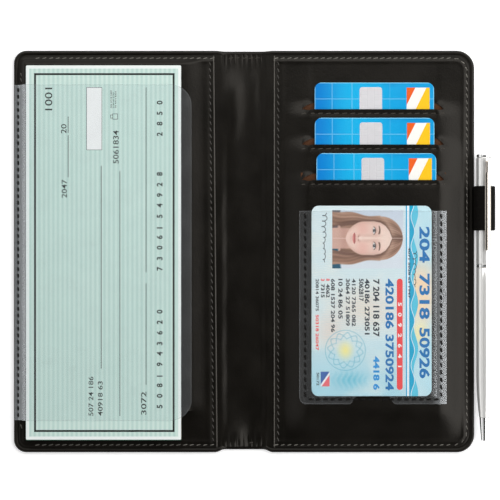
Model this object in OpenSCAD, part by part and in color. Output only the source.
// Checkbook cover, lying open with its inside up: a leather cover that folds at its
// spine, a check pad under a clear divider, card slots, a clear card window and a pen.
// Millimetres. X runs across the open cover, Y up the page, Z up from the table.
// The origin is the middle of the spine's outer face.

/* [Cover] */
// Width of the open cover
cover_w = 208.6; // [204:0.1:216]
// Height of the cover
cover_h = 182; // [180:0.5:190]
// Radius of the four outer corners
corner_r = 7; // [4:0.5:9]
// Width of the strip between the two fold lines
spine_w = 16; // [15.5:0.5:20]
// Thickness of the outer leather
skin_t = 1; // [0.6:0.1:1.6]
// Thickness of the stiffening board inside each cover
stiffener_t = 0.5; // [0.4:0.1:1.2]
// Thickness of the lining
lining_t = 0.5; // [0.4:0.05:1]
// Width of outer leather left showing round the edge
rim_w = 1.1; // [0.6:0.1:1.6]
// Distance of the stiffening boards from the fold lines
stiffener_back = 2; // [1:0.1:4]

/* [Facings] */
// Thickness of the leather facings
facing_t = 0.55; // [0.45:0.05:0.8]
// Gap between the free edges of the two facings
mouth_gap = 26.6; // [25:0.1:30]
// Width of the flat hem along each free edge
hem_w = 4.5; // [4:0.1:6]
// Distance of the hem's thread from the free edge
hem_seam = 2.2; // [1.5:0.1:3]
// Rise length of a facing beside its hem
hem_rise = 6.2; // [4:0.1:7]
// Width of the flat edge outside the right facing's falls
flat_w = 5; // [4.4:0.1:6]
// Width of the flat edge at the left facing's outer side
left_flat_w = 3.1; // [2.9:0.1:3.4]
// Width of the flat edge at the left facing's top
left_flat_end = 3.4; // [2.9:0.1:4]
// Clearance between a sliding piece and the layers beside it
slip = 0.15; // [0.12:0.01:0.2]

/* [Seams] */
// Width of a thread
thread_w = 0.5; // [0.3:0.05:0.7]
// Depth that a thread sinks into the leather
thread_sunk = 0.2; // [0.1:0.01:0.22]
// Height that a thread stands proud of the leather
thread_proud = 0.05; // [0:0.01:0.08]
// Distance of the edge seam from the top and bottom edges
seam_end = 2; // [1.8:0.1:2.6]
// Distance of the edge seam from the left edge
seam_left = 2.35; // [2.2:0.05:2.6]
// Distance of the edge seam from the right edge
seam_right = 3.4; // [2.6:0.1:4]

/* [Cards] */
// Width of a card
card_w = 53.98; // [53:0.1:55]
// Height of a card
card_h = 85.6; // [84:0.1:87]
// Thickness of a card
card_t = 0.76; // [0.6:0.01:0.84]
// Corner radius of a card
card_r = 3.18; // [2:0.1:4]
// Height of each card that shows above its slot
card_show = 12.1; // [8:0.1:13]
// Width and height of the contact plate on a card
chip_size = [10.2, 11.8]; // [8:0.1:13]
// Thickness of the contact plate
chip_t = 0.3; // [0.2:0.05:0.4]
// Distance of the contact plate from the card's top edge
chip_drop = 2.1; // [1:0.1:4]

/* [Card slots] */
// Distance of the first slot from the top of the cover
slot_drop = 26.7; // [24:0.1:30]
// Distance from one slot to the next
slot_pitch = 16.05; // [15:0.05:18]
// Length of a slot
slot_w = 63.3; // [60:0.1:64]
// Distance of the slots' middle from the right edge of the cover
slot_in = 45.95; // [45:0.05:47]
// Flat leather between the slots' right end and the fall
slot_after = 2; // [1:0.1:3]
// Distance of a slot's thread below its edge
slot_seam = 1.9; // [1.5:0.1:2.6]
// Thickness of a slot's fabric lining
pocket_t = 0.2; // [0.1:0.05:0.3]

/* [Card window] */
// Width of the clear window
window_w = 66.3; // [64:0.1:67]
// Height of the clear window
window_h = 86.9; // [85:0.1:90]
// Distance of the window's lower edge from the bottom of the cover
window_up = 22.4; // [20:0.1:24]
// Flat leather below the window
window_after = 3.4; // [1:0.1:5]
// Distance of the window's seam above its lower edge
window_seam_up = 1.9; // [1.4:0.1:2.2]
// Thickness of the clear sheet
vinyl_t = 0.25; // [0.2:0.01:0.35]
// Distance of the card's lower edge above the window's
window_card_up = 3.6; // [3.2:0.1:5]
// Width of the thumb notch at the window's lower edge
notch_w = 19; // [12:0.5:26]
// Depth of the thumb notch
notch_d = 3.8; // [3.6:0.1:6]

/* [Check pad] */
// Width of the check pad
pad_w = 69.85; // [68:0.1:72]
// Length of the check pad
pad_l = 168.6; // [160:0.1:170]
// Thickness of the checks under the top one
pad_stack_t = 2.3; // [1:0.1:2.6]
// Thickness of the top check
check_t = 0.1; // [0.08:0.01:0.15]
// Thickness of the pad's board
pad_board_t = 0.7; // [0.4:0.05:1]
// Distance of the pad from the left edge of the cover
pad_in = 6.1; // [5.8:0.1:7]
// Distance of the pad's glued end from the bottom of the cover
pad_up = 6.25; // [5:0.05:7]
// Length of the glued end of the pad
pad_bind_l = 8; // [5:0.5:10]
// Thickness of the tape over the pad's glued end
pad_tape_t = 0.3; // [0.1:0.05:0.4]
// Distance of the pad's slit from the bottom of the cover
slit_up = 19; // [17:0.5:24]

/* [Divider] */
// Length of the clear divider
divider_l = 151.5; // [130:0.5:160]
// Distance of the divider's free edge from the left edge of the cover
divider_w = 80.8; // [76:0.1:84]
// Distance of the divider's middle below the middle of the cover
divider_down = 0.45; // [0:0.05:3]
// Distance of the divider's sewn edge from the left edge of the cover
divider_in = 0.4; // [0.2:0.05:0.8]
// Corner radius of the divider
divider_r = 10; // [4:0.5:14]
// Distance of the divider's fold line from the left edge of the cover
divider_fold = 2.9; // [2.8:0.05:3.1]

/* [Pen] */
// Radius of the pen's barrel
pen_r = 3.55; // [3.4:0.05:4]
// Radius of the ring between the pen's halves
pen_ring_r = 3.7; // [3.6:0.05:4.2]
// Height of the pen's top above the middle of the cover
pen_top = 43.8; // [40:0.1:60]
// Length of the pen's upper barrel
pen_cap_l = 48.5; // [44:0.5:52]
// Width of the ring
pen_ring_l = 1.6; // [1:0.1:3]
// Length of the straight stretch of the lower barrel
pen_grip_l = 43.6; // [36:0.1:48]
// Length of the tapered stretch of the lower barrel
pen_taper_l = 23.8; // [18:0.1:26]
// Length of the pen's tip
pen_tip_l = 10.6; // [8:0.1:13]
// Radius where the barrel meets the tip
pen_neck_r = 2.45; // [2.3:0.05:2.7]
// Radius of the tip's mouth
pen_nose_r = 1.5; // [1.45:0.05:1.8]
// Gap between the pen and the cover
pen_gap = 0.65; // [0.5:0.05:1.2]
// Length of the pen's clip
clip_l = 40.5; // [36:0.5:44]
// Width of the pen's clip
clip_w = 2.7; // [2:0.1:3.4]
// Thickness of the pen's clip
clip_t = 0.6; // [0.4:0.05:1]
// Turn of the clip away from straight up
clip_turn = 10; // [0:1:20]
// Travel of the refill's point when the pen is twisted
refill_travel = 3; // [2:0.1:3.2]

/* [Pen loop] */
// Width of the elastic band
loop_w = 20.1; // [14:0.1:24]
// Thickness of the elastic band
loop_t = 1.1; // [0.8:0.05:1.6]
// Height of the band's middle above the middle of the cover
loop_up = 19.5; // [10:0.5:25]
// Length of the band that is sewn into the cover
loop_tab = 7; // [5:0.5:9]

/* [Hidden] */

$fn = 64;
nil = 0.01;
leather = [0.13, 0.12, 0.11];
lining_colour = [0.17, 0.16, 0.15];
thread_colour = [0.3, 0.29, 0.27];
paper = [0.75, 0.87, 0.83];
vinyl = [0.8, 0.85, 0.88, 0.4];
card_blue = [0.03, 0.55, 0.86];
steel = [0.78, 0.78, 0.77];

// Heights of the layers that both covers share
edge_x = cover_w / 2;
edge_y = cover_h / 2;
fold_x = spine_w / 2;
fold_z = skin_t + lining_t;
lining_z = skin_t + stiffener_t;
inside_z = lining_z + lining_t;
flange_z = inside_z + facing_t;
mouth_x = mouth_gap / 2;
hem_x = mouth_x + hem_w;

// The right cover: cards and facing steps lie on each other like roof tiles
slot_mid_x = edge_x - slot_in;
slot_x0 = slot_mid_x - slot_w / 2;
slot_x1 = slot_mid_x + slot_w / 2;
slot_y = [edge_y, for (i = [0:2]) edge_y - slot_drop - i * slot_pitch];
step_z = [for (i = [0:3]) inside_z + i * (facing_t + card_t + 2 * slip)];
card_z = [for (i = [0:2]) step_z[i] + facing_t + slip];
card_sink = card_h - card_show;
step_x0 = hem_x + hem_rise;
step_x1 = slot_x1 + slot_after;
skirt_x = edge_x - flat_w;
window_bottom = -edge_y + window_up;
window_top = window_bottom + window_h;
window_shift = 0.3;
window_mid_x = slot_mid_x - window_shift;
window_x0 = window_mid_x - window_w / 2;
window_x1 = window_mid_x + window_w / 2;
plateau_y = window_bottom - window_after;
skirt_y = -edge_y + flat_w;
id_shift = 0.7;
id_x = window_mid_x - id_shift;
id_y = window_bottom + window_card_up;
id_z = step_z[3] + facing_t + slip;
window_z = step_z[3] + facing_t;
window_top_z = id_z + card_t + slip;
tray_x0 = id_x - card_w / 2 - slip - vinyl_t;
tray_x1 = id_x + card_w / 2 + slip + vinyl_t;
tray_y0 = id_y - slip - vinyl_t;
// The window's seam runs along the middle of its narrower border
window_seam_in = (tray_x0 - window_x0) / 2;
notch_shift = 0.4;
notch_taper = 1.9;
card_aside = 0.55;
last_card_aside = 0.7;
chip_shift = 1.6;
chip_r = 1.2;
pocket_over = 2;

// The left cover: the pad's board is under the facing and its checks are over it
pad_x0 = -edge_x + pad_in;
pad_x1 = pad_x0 + pad_w;
pad_y0 = -edge_y + pad_up;
pad_y1 = pad_y0 + pad_l;
board_z = flange_z + slip;
left_step_z = board_z + pad_board_t + slip;
checks_z = left_step_z + facing_t + slip;
top_check_z = checks_z + pad_stack_t;
slit_y = -edge_y + slit_up;
left_step_out = 1;
left_step_x0 = pad_x0 - left_step_out;
left_step_x1 = -hem_x - hem_rise;
left_skirt_x = -edge_x + left_flat_w;
left_skirt_y = edge_y - left_flat_end;
pad_side_gap = 0.6;

// The divider: a flange, a sloped bend and a flat leaf of one thickness
divider_x0 = -edge_x + divider_in;
divider_y0 = -divider_down - divider_l / 2;
divider_y1 = divider_y0 + divider_l;
divider_seam_end = 0.6;
divider_fold_x = -edge_x + divider_fold;
divider_fold_z = flange_z + vinyl_t;
leaf_z = top_check_z + check_t + slip;
leaf_top_z = leaf_z + vinyl_t;
leaf_over = 0.4;
leaf_x0 = pad_x0 - leaf_over;
leaf_x1 = -edge_x + divider_w;
bend_angle = atan2(leaf_top_z - divider_fold_z, leaf_x0 - divider_fold_x);

// The pen lies in its loop beside the right cover
loop_play = 0.1;
loop_r = pen_ring_r + loop_play;
loop_outer_r = loop_r + loop_t;
pen_x = edge_x + pen_gap + pen_r;
loop_lift = 0.05;
pen_z = loop_outer_r + loop_lift;
pen_wall = 0.65;
bore_r = pen_r - pen_wall;
turn_play = 0.05;
core_r = bore_r - turn_play;
refill_r = 1.5;
point_r = 1.1;
refill_play = 0.1;
finial_l = 1;
finial_plug_l = 3;
finial_step = 0.25;
cap_y0 = pen_top - finial_l - pen_cap_l;
ring_y0 = cap_y0 - pen_ring_l;
grip_y1 = ring_y0 - turn_play;
taper_y1 = grip_y1 - pen_grip_l;
tip_y1 = taper_y1 - pen_taper_l;
nose_y = tip_y1 - pen_tip_l;
retract = 2;
shoulder_up = 2.4;
shoulder_y = tip_y1 + shoulder_up;
core_reach = 14;
core_drop = 6;
core_y0 = ring_y0 - core_reach;
core_y1 = pen_top - core_drop;
core_wall = 2;
refill_drop = 16;
refill_y1 = core_y1 - refill_drop;
tip_step = 0.1;
tip_seat = 3;
ball_l = 2;
ball_r = 0.35;
clip_gap = 0.15;
clip_r = loop_outer_r + clip_gap;
clip_drop = 2.8;
clip_y1 = pen_top - clip_drop;
clip_foot_l = 2.6;
clip_neck_l = 2.4;
clip_narrow = 2 / 3;
loop_gap = 0.1;
hem_seam_end = 2;

// How far a cut runs on past what it cuts
past = 1;

// A rectangle from x0 to x1 and y0 to y1
module area(x0, x1, y0, y1) {
    translate([x0, y0]) square([x1 - x0, y1 - y0]);
}

// A block from x0 to x1, y0 to y1 and z0 to z1
module block(x0, x1, y0, y1, z0, z1) {
    translate([x0, y0, z0]) cube([x1 - x0, y1 - y0, z1 - z0]);
}

// A rectangle with four round corners
module round_area(x0, x1, y0, y1, r) {
    area(x0 + r, x1 - r, y0, y1);
    area(x0, x1, y0 + r, y1 - r);
    for (x = [x0 + r, x1 - r], y = [y0 + r, y1 - r])
        translate([x, y]) circle(r);
}

// A rectangle whose two corners at x1 are round
module half_area(x0, x1, y0, y1, r) {
    area(x0, x1 - r, y0, y1);
    area(x0, x1, y0 + r, y1 - r);
    for (y = [y0 + r, y1 - r])
        translate([x1 - r, y]) circle(r);
}

// One cover's outline on the right, taken in from its side and its ends
module cover_area(x0, side, end) {
    r = corner_r - min(side, end);
    half_area(x0, edge_x - side, -edge_y + end, edge_y - end, r);
}

// The rim where the outer leather turns over the cover's edge
module turned_rim() {
    translate([0, 0, skin_t - nil])
        linear_extrude(flange_z - skin_t + nil)
            difference() {
                cover_area(fold_x, 0, 0);
                cover_area(fold_x - past, rim_w, rim_w);
            }
}

module cover_plate(x0, inset, z0, t) {
    translate([0, 0, z0]) linear_extrude(t) cover_area(x0, inset, inset);
}

module to_left() {
    mirror([1, 0, 0]) children();
}

// The edge seam's line on one cover, from x0 outwards
module seam_area(x0, side) {
    half = thread_w / 2;
    difference() {
        cover_area(x0, side - half, seam_end - half);
        cover_area(x0 - past, side + half, seam_end + half);
    }
}

module seam_line(x0, x1, side, top_z) {
    translate([0, 0, top_z - thread_sunk])
        linear_extrude(thread_sunk + thread_proud)
            intersection() {
                seam_area(x0, side);
                area(x0, x1, -edge_y, edge_y);
            }
}

// Two thread lines across the spine's ends
module spine_seam() {
    half = thread_w / 2;
    for (y = [-edge_y + seam_end, edge_y - seam_end])
        block(-fold_x, fold_x, y - half, y + half, fold_z - thread_sunk, fold_z + thread_proud);
}

module lining_seam(side) {
    seam_line(fold_x, mouth_x, side, inside_z);
}

module facing_seam(side) {
    seam_line(mouth_x, edge_x, side, flange_z);
}

module hem_seam_line() {
    x = mouth_x + hem_seam;
    half = thread_w / 2;
    y = edge_y - seam_end - hem_seam_end;
    block(x - half, x + half, -y, y, flange_z - thread_sunk, flange_z + thread_proud);
}

// The thread line below slot i
module slot_seam_line(i) {
    half = thread_w / 2;
    y = slot_y[i] - slot_seam;
    z = step_z[i] + facing_t;
    block(slot_x0, slot_x1, y - half, y + half, z - thread_sunk, z + thread_proud);
}

// The space in the right cover where the band's end is sewn in
module loop_pocket(gap) {
    block(edge_x - loop_tab - gap, edge_x + past, loop_up - loop_w / 2 - gap,
        loop_up + loop_w / 2 + gap, skin_t, inside_z);
}

// A facing's section over step i: hem, rise, flat step, fall and edge
module step_section(i) {
    z = step_z[i];
    polygon([
        [mouth_x, inside_z], [hem_x, inside_z], [step_x0, z], [step_x1, z],
        [skirt_x, inside_z], [edge_x - rim_w, inside_z],
        [edge_x - rim_w, flange_z], [skirt_x, flange_z], [step_x1, z + facing_t],
        [step_x0, z + facing_t], [hem_x, flange_z], [mouth_x, flange_z]
    ]);
}

// What closes the ends of slot i, between the step before it and its own
module slot_end_section(i) {
    low = step_z[i - 1];
    high = step_z[i] + facing_t;
    polygon([
        [hem_x, inside_z], [step_x0, low], [slot_x0, low], [slot_x0, high],
        [step_x0, high], [hem_x, flange_z]
    ]);
    polygon([
        [slot_x1, low], [step_x1, low], [skirt_x, inside_z], [skirt_x, flange_z],
        [step_x1, high], [slot_x1, high]
    ]);
}

// Stands an XZ section up along Y, from y0 to y1
module along_y(y0, y1) {
    translate([0, y1, 0]) rotate([90, 0, 0]) linear_extrude(y1 - y0) children();
}

// The facing's lower end: the last step falls to the flange along the bottom
module lower_fall() {
    hull() {
        block(hem_x, skirt_x, skirt_y, plateau_y, inside_z, flange_z);
        block(step_x0, step_x1, plateau_y - nil, plateau_y, step_z[3], step_z[3] + facing_t);
    }
}

module facing_edge_right() {
    difference() {
        cover_plate(mouth_x, rim_w, inside_z, facing_t);
        block(hem_x, skirt_x, skirt_y, slot_y[1], inside_z - past, flange_z + past);
    }
}

module facing_right_body() {
    facing_edge_right();
    for (i = [1:2])
        intersection() {
            along_y(slot_y[i + 1], slot_y[i]) step_section(i);
            block(hem_x, skirt_x, -edge_y, edge_y, 0, step_z[3]);
        }
    intersection() {
        along_y(plateau_y, slot_y[3]) step_section(3);
        block(hem_x, skirt_x, -edge_y, edge_y, 0, id_z);
    }
    for (i = [1:3])
        along_y(slot_y[i] - facing_t, slot_y[i]) slot_end_section(i);
    difference() {
        lower_fall();
        translate([0, 0, -facing_t]) lower_fall();
    }
}

module facing_right() {
    color(leather)
        difference() {
            facing_right_body();
            facing_seam(seam_right);
            hem_seam_line();
            for (i = [1:3]) slot_seam_line(i);
        }
}

// The left facing's raised part, as a solid
module left_rise() {
    hull() {
        block(left_skirt_x, -hem_x, slit_y, left_skirt_y, inside_z, flange_z);
        block(left_step_x0, left_step_x1, slit_y, pad_y1 + pad_side_gap,
            left_step_z, left_step_z + facing_t);
    }
}

// What closes the ends of the pad's slit
module slit_end_section() {
    high = left_step_z + facing_t;
    polygon([
        [left_skirt_x, inside_z], [pad_x0 - pad_side_gap, inside_z],
        [pad_x0 - pad_side_gap, high], [left_step_x0, high], [left_skirt_x, flange_z]
    ]);
    polygon([
        [pad_x1 + pad_side_gap, inside_z], [-hem_x, inside_z], [-hem_x, flange_z],
        [left_step_x1, high], [pad_x1 + pad_side_gap, high]
    ]);
}

module facing_left_body() {
    difference() {
        to_left() cover_plate(mouth_x, rim_w, inside_z, facing_t);
        block(left_skirt_x, -hem_x, slit_y, left_skirt_y,
            inside_z - past, flange_z + past);
    }
    difference() {
        left_rise();
        translate([0, 0, -facing_t]) left_rise();
    }
    difference() {
        along_y(slit_y, slit_y + facing_t) slit_end_section();
        block(pad_x0 - pad_side_gap, pad_x1 + pad_side_gap, slit_y - past, slit_y + past,
            inside_z - past, left_step_z);
    }
}

module facing_left() {
    color(leather)
        difference() {
            facing_left_body();
            to_left() facing_seam(seam_left);
            to_left() hem_seam_line();
        }
}

module outer_skin_spine() {
    color(leather)
        difference() {
            block(-fold_x, fold_x, -edge_y, edge_y, 0, fold_z);
            block(-fold_x - past, fold_x + past, -edge_y + rim_w, edge_y - rim_w,
                skin_t, fold_z + past);
        }
}

module outer_skin_left() {
    color(leather)
        to_left() {
            cover_plate(fold_x, 0, 0, skin_t);
            turned_rim();
        }
}

module outer_skin_right() {
    color(leather)
        difference() {
            union() {
                cover_plate(fold_x, 0, 0, skin_t);
                turned_rim();
            }
            loop_pocket(loop_gap);
        }
}

module stiffener_left() {
    color("peru") to_left() cover_plate(fold_x + stiffener_back, rim_w, skin_t, stiffener_t);
}

module stiffener_right() {
    color("peru")
        difference() {
            cover_plate(fold_x + stiffener_back, rim_w, skin_t, stiffener_t);
            loop_pocket(loop_gap);
        }
}

module lining_spine() {
    color(lining_colour)
        difference() {
            block(-fold_x, fold_x, -edge_y + rim_w, edge_y - rim_w, skin_t, fold_z);
            spine_seam();
        }
}

module lining_half(side) {
    difference() {
        union() {
            cover_plate(fold_x + nil, rim_w, lining_z, lining_t);
            block(fold_x + nil, fold_x + stiffener_back, -edge_y + rim_w, edge_y - rim_w,
                skin_t, inside_z);
        }
        lining_seam(side);
    }
}

module lining_left() {
    color(lining_colour) to_left() lining_half(seam_left);
}

module lining_right() {
    color(lining_colour)
        difference() {
            lining_half(seam_right);
            loop_pocket(loop_gap);
        }
}

module edge_thread_spine() {
    color(thread_colour) spine_seam();
}

module edge_thread_right() {
    color(thread_colour) {
        lining_seam(seam_right);
        facing_seam(seam_right);
    }
}

// The left seam breaks where the divider is sewn in
module edge_thread_left() {
    color(thread_colour)
        difference() {
            to_left() {
                lining_seam(seam_left);
                facing_seam(seam_left);
            }
            block(-edge_x, divider_fold_x, divider_y0, divider_y1, flange_z, divider_fold_z);
        }
}

module hem_thread_left() {
    color(thread_colour) to_left() hem_seam_line();
}

module hem_thread_right() {
    color(thread_colour) hem_seam_line();
}

module slot_thread(i) {
    color(thread_colour) slot_seam_line(i);
}

// A slot's lining goes on from the step above the slot, under its card
module pocket_lining(i) {
    rise = i == 1 ? 0 : (facing_t - pocket_t) / 2;
    z = step_z[i - 1] + rise;
    color(lining_colour)
        block(slot_x0, slot_x1, slot_y[i] - card_sink - pocket_over, slot_y[i],
            z, z + pocket_t);
}

module notch_area() {
    x = window_mid_x - notch_shift;
    half = notch_w / 2;
    polygon([
        [x - half, window_bottom - past], [x + half, window_bottom - past],
        [x + half - notch_taper, window_bottom + notch_d],
        [x - half + notch_taper, window_bottom + notch_d]
    ]);
}

// The window's seam: down its left side, along its bottom and up its right
module window_seam() {
    half = thread_w / 2;
    x0 = window_x0 + window_seam_in;
    x1 = window_x1 - window_seam_in;
    y = window_bottom + window_seam_up;
    translate([0, 0, window_z + vinyl_t - thread_sunk])
        linear_extrude(thread_sunk + thread_proud)
            difference() {
                area(x0 - half, x1 + half, y - half, window_top);
                area(x0 + half, x1 - half, y + half, window_top + past);
                notch_area();
            }
}

module card_window() {
    wall = vinyl_t;
    color(vinyl)
        difference() {
            union() {
                block(window_x0, window_x1, window_bottom, window_top,
                    window_z, window_z + vinyl_t);
                block(tray_x0, tray_x1, tray_y0, window_top, window_z, window_top_z + vinyl_t);
            }
            block(tray_x0 + wall, tray_x1 - wall, tray_y0 + wall, window_top + past,
                window_z - past, window_top_z);
            translate([0, 0, window_z - past])
                linear_extrude(window_top_z + vinyl_t - window_z + 2 * past) notch_area();
            window_seam();
        }
}

module window_thread() {
    color(thread_colour) window_seam();
}

module divider_seam() {
    x = -edge_x + seam_left;
    half = thread_w / 2;
    block(x - half, x + half, divider_y0 + divider_seam_end, divider_y1 - divider_seam_end,
        divider_fold_z - thread_sunk, divider_fold_z);
}

module divider_flange() {
    color(vinyl)
        difference() {
            block(divider_x0, divider_fold_x, divider_y0, divider_y1, flange_z, divider_fold_z);
            divider_seam();
        }
}

module divider_thread() {
    color(thread_colour) divider_seam();
}

// The sloped bend between the fold line and the leaf, with mitred ends
module divider_bend() {
    across = [sin(bend_angle), -cos(bend_angle)] * vinyl_t;
    mitre = tan(bend_angle / 2) * vinyl_t;
    low = [divider_fold_x, divider_fold_z];
    high = [leaf_x0, leaf_top_z];
    color(vinyl)
        along_y(divider_y0, divider_y1)
            polygon([
                low, high, [leaf_x0 + mitre, leaf_z],
                low + across
            ]);
}

module divider_leaf() {
    mitre = tan(bend_angle / 2) * vinyl_t;
    color(vinyl) {
        intersection() {
            translate([0, 0, leaf_z]) linear_extrude(vinyl_t)
                half_area(leaf_x0, leaf_x1, divider_y0, divider_y1, divider_r);
            along_y(-edge_y, edge_y)
                polygon([
                    [leaf_x0, leaf_top_z], [leaf_x1, leaf_top_z],
                    [leaf_x1, leaf_z], [leaf_x0 + mitre, leaf_z]
                ]);
        }
    }
}

module pad_board() {
    color("tan") block(pad_x0, pad_x1, pad_y0, pad_y1, board_z, board_z + pad_board_t);
}

// The checks, and the glued end that joins them to the board
module pad_checks() {
    color(paper) {
        block(pad_x0, pad_x1, pad_y0, pad_y1, checks_z, top_check_z);
        block(pad_x0, pad_x1, pad_y0, pad_y0 + pad_bind_l, board_z + pad_board_t, checks_z);
    }
}

module top_check() {
    color(paper) block(pad_x0, pad_x1, pad_y0, pad_y1, top_check_z, top_check_z + check_t);
}

module pad_tape() {
    color("slategray")
        block(pad_x0, pad_x1, pad_y0 - pad_tape_t, pad_y0, board_z, top_check_z);
}

// Places what belongs to card i at the card's upper left corner
module on_card(i) {
    aside = i == 3 ? card_aside + last_card_aside : card_aside;
    translate([slot_mid_x - card_w / 2 + aside, slot_y[i] + card_show, card_z[i - 1]])
        children();
}

module card_chip_shape() {
    x = (card_w - chip_size[0]) / 2 - chip_shift;
    linear_extrude(chip_t)
        round_area(x, x + chip_size[0], -chip_drop - chip_size[1], -chip_drop, chip_r);
}

module card(i) {
    color(card_blue)
        difference() {
            on_card(i) linear_extrude(card_t) round_area(0, card_w, -card_h, 0, card_r);
            on_card(i) translate([0, 0, card_t - chip_t]) card_chip_shape();
        }
}

module card_chip(i) {
    color("gainsboro") on_card(i) translate([0, 0, card_t - chip_t]) card_chip_shape();
}

module id_card() {
    color("lightblue")
        translate([0, 0, id_z]) linear_extrude(card_t)
            round_area(id_x - card_w / 2, id_x + card_w / 2, id_y, id_y + card_h, card_r);
}

// Places a shape turned about Z on the pen's axis, with its Z along the pen
module on_pen(y) {
    translate([pen_x, y, pen_z]) rotate([-90, 0, 0]) children();
}

module pen_loop() {
    y = loop_up - loop_w / 2;
    color("black")
        difference() {
            union() {
                on_pen(y) cylinder(r = loop_outer_r, h = loop_w);
                block(edge_x - loop_tab, pen_x - loop_r / 2, y, y + loop_w, skin_t, inside_z);
            }
            on_pen(y - past) cylinder(r = loop_r, h = loop_w + 2 * past);
        }
}

module pen_cap() {
    color(steel)
        difference() {
            on_pen(cap_y0) cylinder(r = pen_r, h = pen_cap_l);
            on_pen(cap_y0 - past) cylinder(r = bore_r, h = pen_cap_l + 2 * past);
        }
}

// The cap's flat end, with a plug inside the barrel
module pen_finial() {
    color(steel) {
        on_pen(pen_top - finial_l) cylinder(r = pen_r - finial_step, h = finial_l);
        on_pen(pen_top - finial_l - finial_plug_l) cylinder(r = bore_r, h = finial_plug_l + nil);
    }
}

module pen_clip() {
    neck = clip_narrow * clip_w / 2;
    color(steel)
        translate([pen_x, 0, pen_z]) rotate([0, clip_turn, 0])
            difference() {
                union() {
                    block(-clip_w / 2, clip_w / 2, clip_y1 - clip_l,
                        clip_y1 - clip_foot_l - clip_neck_l, clip_r, clip_r + clip_t);
                    block(-neck, neck, clip_y1 - clip_foot_l - clip_neck_l - nil, clip_y1,
                        clip_r, clip_r + clip_t);
                    block(-neck, neck, clip_y1 - clip_foot_l, clip_y1,
                        pen_r / 2, clip_r + clip_t);
                }
                rotate([-90, 0, 0]) cylinder(r = pen_r, h = 2 * edge_y, center = true);
            }
}

module pen_ring() {
    color(steel)
        difference() {
            on_pen(ring_y0) cylinder(r = pen_ring_r, h = pen_ring_l);
            on_pen(ring_y0 - past) cylinder(r = core_r, h = pen_ring_l + 2 * past);
        }
}

// The twist mechanism: a tube fixed in the cap that drives the refill
module pen_twist_core() {
    color("goldenrod")
        difference() {
            union() {
                on_pen(core_y0) cylinder(r = core_r, h = cap_y0 - core_y0);
                on_pen(cap_y0) cylinder(r = bore_r, h = core_y1 - cap_y0);
            }
            on_pen(core_y0 - past)
                cylinder(r = refill_r + refill_play, h = core_y1 - core_y0 - core_wall + past);
        }
}

module pen_barrel() {
    color("silver")
        difference() {
            union() {
                on_pen(taper_y1) cylinder(r = pen_r, h = pen_grip_l);
                on_pen(tip_y1) cylinder(r1 = pen_neck_r, r2 = pen_r, h = pen_taper_l);
            }
            on_pen(taper_y1) cylinder(r = bore_r, h = pen_grip_l + past);
            on_pen(tip_y1 - past) cylinder(r = refill_r + refill_play, h = pen_taper_l + 2 * past);
        }
}

module pen_tip() {
    color(steel)
        difference() {
            on_pen(nose_y) cylinder(r1 = pen_nose_r, r2 = pen_neck_r - tip_step, h = pen_tip_l);
            on_pen(nose_y - past) cylinder(r = point_r + refill_play, h = pen_tip_l + 2 * past);
            on_pen(tip_y1 - tip_seat) cylinder(r = refill_r + refill_play, h = tip_seat + past);
        }
}

module refill_tube() {
    color("dimgray") on_pen(shoulder_y) cylinder(r = refill_r, h = refill_y1 - shoulder_y);
}

module refill_point() {
    y = nose_y + retract;
    color("goldenrod") {
        on_pen(y) cylinder(r1 = ball_r, r2 = point_r, h = ball_l);
        on_pen(y + ball_l) cylinder(r = point_r, h = shoulder_y - y - ball_l);
    }
}

outer_skin_spine();
outer_skin_left();
outer_skin_right();
stiffener_left();
stiffener_right();
lining_spine();
lining_left();
lining_right();
facing_left();
facing_right();
edge_thread_spine();
edge_thread_left();
edge_thread_right();
hem_thread_left();
hem_thread_right();
slot_thread(1);  // slot_thread_1
slot_thread(2);  // slot_thread_2
slot_thread(3);  // slot_thread_3
pocket_lining(1);  // pocket_lining_1
pocket_lining(2);  // pocket_lining_2
pocket_lining(3);  // pocket_lining_3
card_window();
window_thread();
divider_flange();
divider_thread();
divider_bend();
divider_leaf();
pad_board();
pad_checks();
top_check();
pad_tape();
card(1);  // card_1
card(2);  // card_2
card(3);  // card_3
card_chip(1);  // card_chip_1
card_chip(2);  // card_chip_2
card_chip(3);  // card_chip_3
id_card();
pen_loop();
pen_cap();
pen_finial();
pen_clip();
pen_ring();
pen_twist_core();
pen_barrel();
pen_tip();
refill_tube();
refill_point();
